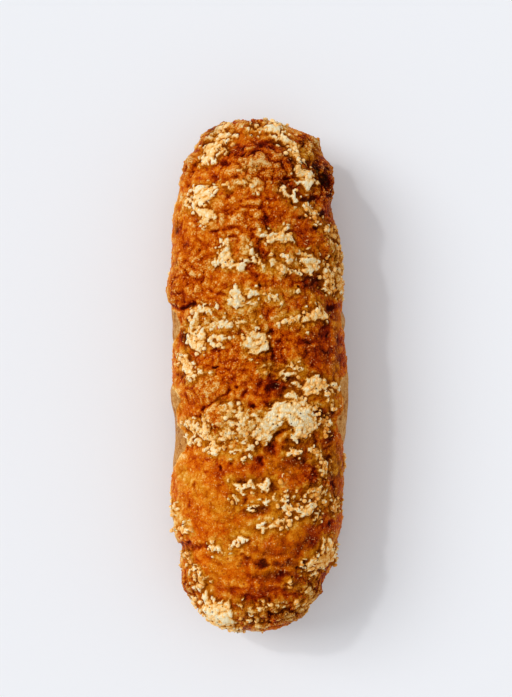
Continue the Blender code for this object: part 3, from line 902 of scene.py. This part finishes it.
def make_crust(material):
    """The whole loaf's skin. Returns the piece, its points, normals and fields."""
    shape = broad_shape(section_grid())
    outward = grid_normals(shape)
    rows, columns = shape.shape[:2]
    plain = shape.reshape(-1, 3)
    grain = crust_grain(plain)
    fields = look_fields(plain, outward[..., 2].ravel(), grain)
    height = fine_relief(plain, fields, grain).reshape(rows, columns)
    grid = fit_to_frame(shape + outward * height[..., None])
    for name, reach, full in HOLLOWS:
        fields[name] = standing_out(grid, outward, reach, full).ravel()
    ends = ((0, CAD_BOX[0][1]), (-1, CAD_BOX[1][1]))
    tips = np.array([[grid[row, :, 0].mean(), y, TIP_LEVEL] for row, y in ends])
    points = np.concatenate([grid.reshape(-1, 3), tips])
    piece = new_piece("baked_crust", points, grid_faces(rows, columns), material)
    for name in CRUST_ATTRIBUTES:
        values = np.concatenate([fields[name], [fields[name][0], fields[name][-1]]])
        add_attribute(piece.data, name, values)
    return piece, grid.reshape(-1, 3), grid_normals(grid).reshape(-1, 3), fields


def ball():
    """Points and triangles of a unit ball."""
    bm = bmesh.new()
    bmesh.ops.create_icosphere(bm, subdivisions=GRAIN_SUBDIVISIONS, radius=1.0)
    bm.verts.ensure_lookup_table()
    points = np.array([v.co[:] for v in bm.verts])
    faces = np.array([[v.index for v in f.verts] for f in bm.faces])
    bm.free()
    return points, faces


def random_turns(rng, count):
    """Rotation matrices, evenly spread."""
    q = rng.normal(size=(count, 4))
    w, x, y, z = (q / np.linalg.norm(q, axis=1, keepdims=True)).T
    rows = [
        [1 - 2 * (y * y + z * z), 2 * (x * y - z * w), 2 * (x * z + y * w)],
        [2 * (x * y + z * w), 1 - 2 * (x * x + z * z), 2 * (y * z - x * w)],
        [2 * (x * z - y * w), 2 * (y * z + x * w), 1 - 2 * (x * x + y * y)],
    ]
    return np.array(rows).transpose(2, 0, 1)


def scatter(weights, count, rng):
    """Indices of points drawn by weight, none twice."""
    return rng.choice(len(weights), size=count, replace=False, p=weights / weights.sum())


def make_grains(name, material, weights, skin, kind, rng):
    """Lumpy grains half sunk in the skin, most where the weights are large, joined into one piece."""
    points, normals, fields = skin
    ball_points, ball_faces = ball()
    count, smallest, largest, sunk = kind
    chosen = scatter(weights, count, rng)
    size = rng.uniform(smallest, largest, size=count)
    stretch = rng.uniform(*GRAIN_STRETCH, size=(count, 1, 3))
    shapes = np.einsum("nij,nkj->nki", random_turns(rng, count), ball_points[None] * stretch)
    bumps = fractal((shapes + rng.uniform(0, 50, (count, 1, 3))).reshape(-1, 3), 0.9, 5, 2)
    shapes *= (0.72 + 0.56 * bumps).reshape(count, -1, 1)
    centre = points[chosen] - normals[chosen] * (size * sunk)[:, None]
    placed = centre[:, None] + shapes * size[:, None, None]
    faces = ball_faces[None] + (np.arange(count) * len(ball_points))[:, None, None]
    piece = new_piece(name, placed.reshape(-1, 3), faces.reshape(-1, 3).tolist(), material)
    per_point = len(ball_points)
    for field in GRAIN_ATTRIBUTES:
        add_attribute(piece.data, field, np.repeat(fields[field][chosen], per_point))
    add_attribute(piece.data, "tint", np.repeat(rng.random(count), per_point))
    return piece


def tube(line, radius):
    """Points and faces of a thin closed tube that tapers at both ends."""
    line = np.asarray(line)
    tangent = np.gradient(line, axis=0)
    tangent /= np.linalg.norm(tangent, axis=1, keepdims=True)
    side = np.cross(tangent, [0.0, 0.0, 1.0])
    side /= np.maximum(np.linalg.norm(side, axis=1, keepdims=True), 1e-9)
    up = np.cross(side, tangent)
    taper = np.sin(np.linspace(0.35, math.pi - 0.35, len(line))) ** 0.5
    angles = np.arange(TUBE_SIDES) * 2 * math.pi / TUBE_SIDES
    ring = side[:, None] * np.cos(angles)[None, :, None] + up[:, None] * np.sin(angles)[None, :, None]
    points = line[:, None] + ring * (radius * taper)[:, None, None]
    faces = []
    for i in range(len(line) - 1):
        here, beyond = i * TUBE_SIDES, (i + 1) * TUBE_SIDES
        for j in range(TUBE_SIDES):
            k = (j + 1) % TUBE_SIDES
            faces.append([here + j, beyond + j, beyond + k, here + k])
    faces.append(list(range(TUBE_SIDES)))
    faces.append([(len(line) - 1) * TUBE_SIDES + j for j in reversed(range(TUBE_SIDES))])
    return points.reshape(-1, 3), faces


def shred_lines(across, down, weights, rng):
    """The named strands, and short bent lines scattered by weight, in pixels."""
    lines = [np.array(strand, float) for strand in STRANDS]
    for index in scatter(weights, SHRED_COUNT, rng):
        heading = rng.uniform(0, math.pi)
        bend = rng.uniform(-SHRED_BEND, SHRED_BEND)
        reach = rng.uniform(*SHRED_HALF_LENGTH)
        steps = np.linspace(-1, 1, 5)
        turned = heading + bend * steps
        line = np.stack([np.cos(turned), np.sin(turned)], axis=1) * steps[:, None] * reach
        lines.append(line + [across[index], down[index]])
    return lines


def spaced_evenly(line, count):
    """That many points along a line, at even steps of its own points."""
    spots = np.interp(np.linspace(0, 1, count), np.linspace(0, 1, len(line)), np.arange(len(line)))
    low = np.floor(spots).astype(int)
    high = np.minimum(low + 1, len(line) - 1)
    return line[low] + (line[high] - line[low]) * (spots - low)[:, None]


def make_shreds(material, skin, rng):
    """The named strands and scattered short shreds of pale cheese, lying on the skin."""
    points, normals, fields = skin
    across, down = picture_position(points)
    upper = np.flatnonzero(points[:, 2] > OUTLINE_LEVEL)
    seen = np.stack([across[upper], down[upper]], axis=1)
    all_points, all_faces, start = [], [], 0
    weights = np.where(points[:, 2] > OUTLINE_LEVEL, smooth_step((fields["cheese"] + 1.0) / 3.0), 0.0)
    for line in shred_lines(across, down, weights, rng):
        fine = spaced_evenly(line, 7)
        nearest = [upper[np.argmin(((seen - spot) ** 2).sum(axis=1))] for spot in fine]
        route = points[nearest] + normals[nearest] * SHRED_LIFT
        before = np.concatenate([route[:1], route[:-1]])
        after = np.concatenate([route[1:], route[-1:]])
        tube_points, tube_faces = tube((route + before + after) / 3, rng.uniform(*SHRED_RADIUS))
        all_points.append(tube_points)
        all_faces += [[start + i for i in face] for face in tube_faces]
        start += len(tube_points)
    piece = new_piece("cheese_shreds", np.concatenate(all_points), all_faces, material)
    add_attribute(piece.data, "tint", np.repeat(rng.random(len(all_points)), len(all_points[0])))
    return piece


# ---- materials


class Nodes:
    """Short calls for building a node material."""

    def __init__(self, name):
        self.material = bpy.data.materials.new(name)
        self.material.use_nodes = True
        self.tree = self.material.node_tree
        self.surface = self.tree.nodes["Principled BSDF"]
        self.place = self.tree.nodes.new("ShaderNodeTexCoord").outputs["Object"]

    def link(self, source, target):
        """Join an output, or set a plain value."""
        if isinstance(source, bpy.types.NodeSocket):
            self.tree.links.new(source, target)
        else:
            target.default_value = source

    def node(self, kind, **inputs):
        """A node of that kind with its named inputs joined or set; _ stands for the spaces in a name."""
        node = self.tree.nodes.new("ShaderNode" + kind)
        for name, value in inputs.items():
            self.link(value, node.inputs[name.replace("_", " ")])
        return node

    def attribute(self, name):
        """A named number of the mesh."""
        node = self.node("Attribute")
        node.attribute_name = name
        return node.outputs["Fac"]

    def math(self, operation, *values, clamp=False):
        """A sum of numbers or sockets."""
        node = self.node("Math")
        node.operation = operation
        node.use_clamp = clamp
        for value, socket in zip(values, node.inputs):
            self.link(value, socket)
        return node.outputs[0]

    def total(self, *parts, add=0.0):
        """Sum of numbers with their weights, and a plain number."""
        result = add
        for value, weight in parts:
            result = self.math("ADD", result, self.math("MULTIPLY", value, weight))
        return result

    def weighted(self, parts, add=0.0, **weights):
        """Sum of the named ones of the parts with their weights, and a plain number."""
        return self.total(*((parts[name], weight) for name, weight in weights.items()), add=add)

    def between(self, value, low, high):
        """0 at low, 1 at high, an even S between."""
        node = self.node("MapRange", Value=value, From_Min=low, From_Max=high)
        node.interpolation_type = "SMOOTHSTEP"
        return node.outputs["Result"]

    def noise(self, size, detail=2.0, roughness=0.55):
        """Noise from 0 to 1 with swells of that size in metres."""
        swells = {"Scale": 1.0 / size, "Detail": detail, "Roughness": roughness}
        return self.node("TexNoise", Vector=self.place, **swells).outputs["Fac"]

    def level_noise(self, *kind):
        """The same about zero."""
        return self.math("SUBTRACT", self.noise(*kind), 0.5)

    def pits(self, size, rarity):
        """1 in small round pits, of which there are fewer the nearer rarity is to 1."""
        cells = self.node("TexVoronoi", Vector=self.place, Scale=1.0 / size)
        chance = self.node("SeparateColor", Color=cells.outputs["Color"])
        kept = self.between(chance.outputs["Red"], rarity, rarity + 0.06)
        return self.math("MULTIPLY", self.between(cells.outputs["Distance"], 0.28, 0.17), kept)

    def ramp(self, value, *stops):
        """Colour by a number: (place, sRGB colour) stops."""
        node = self.node("ValToRGB", Fac=value)
        colours = node.color_ramp.elements
        while len(colours) < len(stops):
            colours.new(1.0)
        for element, (at, colour) in zip(colours, stops):
            element.position = at
            element.color = linear(colour)
        return node.outputs["Color"]

    def mix(self, share, first, second):
        """Mix of two colours."""
        node = self.node("Mix")
        node.data_type = "RGBA"
        self.link(share, node.inputs["Factor"])
        for value, name in ((first, "A_Color"), (second, "B_Color")):
            self.link(value, next(s for s in node.inputs if s.identifier == name))
        return next(s for s in node.outputs if s.identifier == "Result_Color")

    def bump(self, height, distance, strength):
        """Fine relief in the shading."""
        node = self.node("Bump", Strength=strength, Distance=distance, Height=height)
        self.link(node.outputs["Normal"], self.surface.inputs["Normal"])

    def finish(self, colour, roughness, specular):
        """The material, once its surface has these."""
        self.link(colour, self.surface.inputs["Base Color"])
        self.link(roughness, self.surface.inputs["Roughness"])
        self.surface.inputs["Specular IOR Level"].default_value = specular
        return self.material


def linear(colour):
    """Linear colour of an sRGB one given from 0 to 255."""
    shares = [c / 255 for c in colour]
    return tuple(s / 12.92 if s <= 0.04045 else ((s + 0.055) / 1.055) ** 2.4 for s in shares) + (1.0,)


# Colours from 0 to 255: tones from dark to pale as (place, colour) stops, and plain ones
BROWNED = (
    (0.00, (58, 6, 0)), (0.12, (94, 14, 0)), (0.25, (130, 30, 0)), (0.38, (162, 52, 0)),
    (0.50, (191, 74, 0)), (0.62, (210, 97, 2)), (0.75, (225, 125, 20)), (0.88, (238, 160, 66)),
    (1.00, (250, 204, 134)),
)
OCHRE = (
    (0.00, (62, 18, 0)), (0.12, (94, 34, 0)), (0.25, (126, 56, 0)), (0.38, (154, 78, 0)),
    (0.50, (184, 100, 2)), (0.62, (205, 124, 12)), (0.75, (220, 148, 38)), (0.88, (235, 178, 82)),
    (1.00, (247, 210, 138)),
)
CREAM = (
    (0.00, (148, 68, 2)), (0.14, (186, 100, 14)), (0.28, (216, 134, 40)), (0.42, (236, 165, 72)),
    (0.56, (250, 193, 112)), (0.70, (255, 211, 141)), (0.85, (255, 226, 170)), (1.00, (255, 238, 197)),
)
BREAD = (
    (0.00, (92, 40, 8)), (0.25, (150, 82, 26)), (0.50, (190, 125, 57)), (0.75, (214, 159, 90)),
    (1.00, (238, 204, 150)),
)
# Colour of the painted glints: highlight spots mixed into the browned crust's colour
PAINTED_GLINT = (252, 204, 130)
PINHOLE = (92, 34, 2)
BURNT = (26, 7, 1)
FLOOR = (240, 242, 246)
FLOOR_MOTTLE = (228, 230, 234)


def crust_parts(n):
    """The crust's fields and its noises about zero, and sums of them that several looks share, by name."""
    part = {name: n.attribute(name) for name in CRUST_ATTRIBUTES}
    part["grain"] = n.level_noise(0.0010, 2.0, 0.6)
    part["speckle"] = n.level_noise(0.0028, 2.0, 0.6)
    part["marbling"] = n.level_noise(0.0085, 3.0, 0.6)
    part["sparkle"] = n.level_noise(0.0006, 0.0)
    # Painted shade and highlight: darker where the surface lies in a hollow, paler where it stands out
    part["relief"] = n.weighted(part, hollow_small=0.12, hollow_large=0.22)
    coarse = n.weighted(part, 0.34, knobbly=0.85)
    part["fine"] = n.math("MULTIPLY", n.weighted(part, grain=1.0, sparkle=0.9), coarse)
    part["texture"] = n.weighted(part, fine=0.9, speckle=0.10, marbling=0.62)
    # Painted shade in the creases: the deeper in a crease, the darker
    part["dark"] = n.math("MAXIMUM", part["dark"], n.math("MULTIPLY", part["furrow"], 0.48))
    crumbly = n.weighted(part, 0.70, knobbly=0.9)
    part["ragged"] = n.math("MULTIPLY", n.weighted(part, speckle=4.0, grain=2.8), crumbly)
    part["inside"] = n.weighted(part, 0.15, cheese=1.0, ragged=1.0, hollow_small=0.4)
    part["depth"] = n.between(part["inside"], -2.0, 7.0)
    return part


def painted_glints(n, part):
    """Painted glints: small highlight spots in loose groups, on what stands out and most where the crust is
    knobbly.
    """
    spots = n.between(n.noise(0.0010, 0.0), 0.66, 0.76)
    glint = n.math("MULTIPLY", spots, n.between(n.noise(0.0070, 1.0), 0.40, 0.58))
    glint = n.math("MULTIPLY", glint, n.between(part["hollow_small"], -0.4, 0.3))
    return n.math("MULTIPLY", glint, n.weighted(part, 0.58, knobbly=0.35))


def browned_colour(n, part):
    """Red to ochre brown, golden beside the pale cheese, with painted shade in hollows and towards the
    right, and painted highlights on lump tops and as glints.
    """
    tone = n.weighted(part, 0.603, relief=1.0, texture=1.0, shade=0.22, dark=-0.56, pale=0.26, trend=-0.20)
    hue = n.math("SUBTRACT", n.noise(0.012, 3.0), 0.49)
    ochre = n.total((part["ochre"], 1.0), (hue, 2.6), add=-0.30)
    browned = n.mix(n.math("ADD", ochre, 0.0, clamp=True), n.ramp(tone, *BROWNED), n.ramp(tone, *OCHRE))
    # Painted glints, highlights mixed into the colour
    browned = n.mix(painted_glints(n, part), browned, linear(PAINTED_GLINT))
    beside = n.between(n.weighted(part, inside=1.0, marbling=16.0), -9.0, 0.0)
    golden = n.math("MULTIPLY", beside, n.between(part["ochre"], -1.4, 0.7))
    return n.mix(golden, browned, n.ramp(n.total((tone, 1.0), add=0.12), *OCHRE))


def cream_colour(n, part):
    """Pale cheese with brown pinholes, painted shade between its crumbs and towards the right, and painted
    highlight on their tops.
    """
    tone = n.weighted(part, -0.215, relief=1.6, texture=0.45, grain=0.14, sparkle=0.14, shade=0.13,
                      depth=0.43, whiteness=0.50, trend=-0.17, dark=-0.27)
    pinholes = n.math("MULTIPLY", n.pits(0.0026, 0.56), 0.90)
    return n.mix(pinholes, n.ramp(tone, *CREAM), linear(PINHOLE))


def bread_colour(n, part):
    """Bare bread with pores, darker towards the floor, with painted shade in its hollows and painted
    highlight where it stands out.
    """
    part = part | {"swells": n.noise(0.020, 3.0), "pores": n.pits(0.0034, 0.55)}
    tone = n.weighted(part, -0.10, texture=0.7, grain=0.5, speckle=0.5, relief=0.9, swells=0.5,
                      level=0.42, pores=-0.22)
    return n.ramp(tone, *BREAD)


def crust_material():
    """Browned cheese with pale patches, pinholes and burnt hollows, and bare bread below the slab; its
    colour holds painted shade in hollows, creases, folds and towards the right, and painted highlights and
    glints.
    """
    n = Nodes("crust_look")
    part = crust_parts(n)
    inside = part["inside"]
    colour = n.mix(n.between(inside, -3.3, 2.0), browned_colour(n, part), cream_colour(n, part))
    burnt = n.math("MULTIPLY", n.between(n.weighted(part, dark=1.0, speckle=1.2), 0.92, 1.22), 0.85)
    colour = n.mix(burnt, colour, linear(BURNT))
    bare = n.math("MULTIPLY", n.between(part["slab"], 0.6, 0.35), n.between(inside, 0.6, -0.6))
    colour = n.mix(bare, colour, bread_colour(n, part))
    matte = {"cheese": n.between(inside, -0.9, 0.9), "clouds": n.between(n.noise(0.004), 0.40, 0.60)}
    n.bump(n.weighted(part, fine=1.9, speckle=1.1), 0.0010, 0.8)
    return n.finish(colour, n.weighted(matte, 0.16, cheese=0.30, clouds=0.25), 0.012)


def grain_material(name, pale):
    """Grains of cheese: cream ones, or browned ones that follow the crust's tone; both grow darker towards
    the right with painted shade and some browning.
    """
    n = Nodes(name)
    part = {field: n.attribute(field) for field in GRAIN_ATTRIBUTES}
    part["grain"] = n.level_noise(0.0012, 2.0)
    part["tint"] = n.math("SUBTRACT", n.attribute("tint"), 0.5)
    part["depth"] = n.between(part["cheese"], -2.0, 6.0)
    n.bump(part["grain"], 0.0007, 0.7)
    if pale:
        tone = n.weighted(part, -0.13, grain=0.4, tint=0.20, depth=0.38, whiteness=0.54, trend=-0.21)
        return n.finish(n.ramp(tone, *CREAM), 0.6, 0.03)
    tone = n.weighted(part, 0.59, grain=0.7, tint=0.22, dark=-0.45, pale=0.30, shade=0.22, trend=-0.18)
    return n.finish(n.mix(part["ochre"], n.ramp(tone, *BROWNED), n.ramp(tone, *OCHRE)), 0.30, 0.06)


def shred_material():
    """Thin shreds of pale cheese."""
    n = Nodes("shred_look")
    tint = n.math("MULTIPLY", n.attribute("tint"), 0.35)
    tone = n.math("ADD", n.math("MULTIPLY", n.noise(0.0016), 0.5), tint)
    return n.finish(n.ramp(n.math("ADD", tone, 0.36, clamp=True), *CREAM), 0.55, 0.2)


def floor_material():
    """Matte and pale, a touch mottled."""
    n = Nodes("floor_look")
    colour = n.mix(n.math("MULTIPLY", n.noise(0.3), 0.04), linear(FLOOR), linear(FLOOR_MOTTLE))
    return n.finish(colour, 0.95, 0.5)


# ---- pieces, stage, light, camera


def make_object():
    """All pieces of the loaf."""
    rng = np.random.default_rng(SEED)
    crust, *skin = make_crust(crust_material())
    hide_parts("loaf")
    points, _, fields = skin
    raised = smooth_step((fields["hollow_small"] + 0.6) / 0.8)
    above = smooth_step((points[:, 2] - 0.022) / 0.008) * fields["slab"]
    unburnt = 1.0 - np.minimum(fields["dark"], 1.0)
    pale_weight = smooth_step((fields["cheese"] - 0.2) / 2.2) * above * raised * unburnt
    brown_weight = smooth_step((-fields["cheese"] - 0.5) / 2.0) * above * raised * unburnt
    pale_look = grain_material("pale_grain_look", True)
    brown_look = grain_material("browned_grain_look", False)
    pale = make_grains("pale_grains", pale_look, pale_weight, skin, PALE_GRAINS, rng)
    brown = make_grains("browned_grains", brown_look, brown_weight, skin, BROWNED_GRAINS, rng)
    shreds = make_shreds(shred_material(), skin, rng)
    for piece in (crust, pale, brown, shreds):
        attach(piece, "root")


def make_stage():
    """Pale floor far wider than the loaf."""
    bpy.ops.mesh.primitive_plane_add(size=FLOOR_SIZE, location=(0.0, 0.0, 0.0))
    floor = bpy.context.object
    floor.name = "floor"
    floor.data.materials.append(floor_material())


def add_sun(name, toward, width, strength):
    """Even light from one direction; width in degrees softens its shadows."""
    data = bpy.data.lights.new(name, "SUN")
    data.angle = math.radians(width)
    data.energy = strength
    add_object(name, data).rotation_euler = Vector(toward).to_track_quat("Z", "Y").to_euler()


def make_light():
    """Soft daylight from the left and the far end, over an even pale sky."""
    world = bpy.data.worlds.new("sky")
    world.use_nodes = True
    backdrop = world.node_tree.nodes["Background"]
    backdrop.inputs["Color"].default_value = SKY_COLOUR
    backdrop.inputs["Strength"].default_value = SKY_STRENGTH
    bpy.context.scene.world = world
    for sun in SUNS:
        add_sun(*sun)


def make_camera():
    """Looking straight down on the loaf, as the picture does."""
    data = bpy.data.cameras.new("camera")
    data.sensor_width = SENSOR_MM
    data.lens = SENSOR_MM * CAMERA_DISTANCE / (PICTURE[1] * METRES_PER_PIXEL)
    camera = add_object("camera", data)
    camera.location = camera_place()
    bpy.context.scene.camera = camera
    bpy.context.scene.view_settings.view_transform = "Standard"


make_object()
make_stage()
make_light()
make_camera()
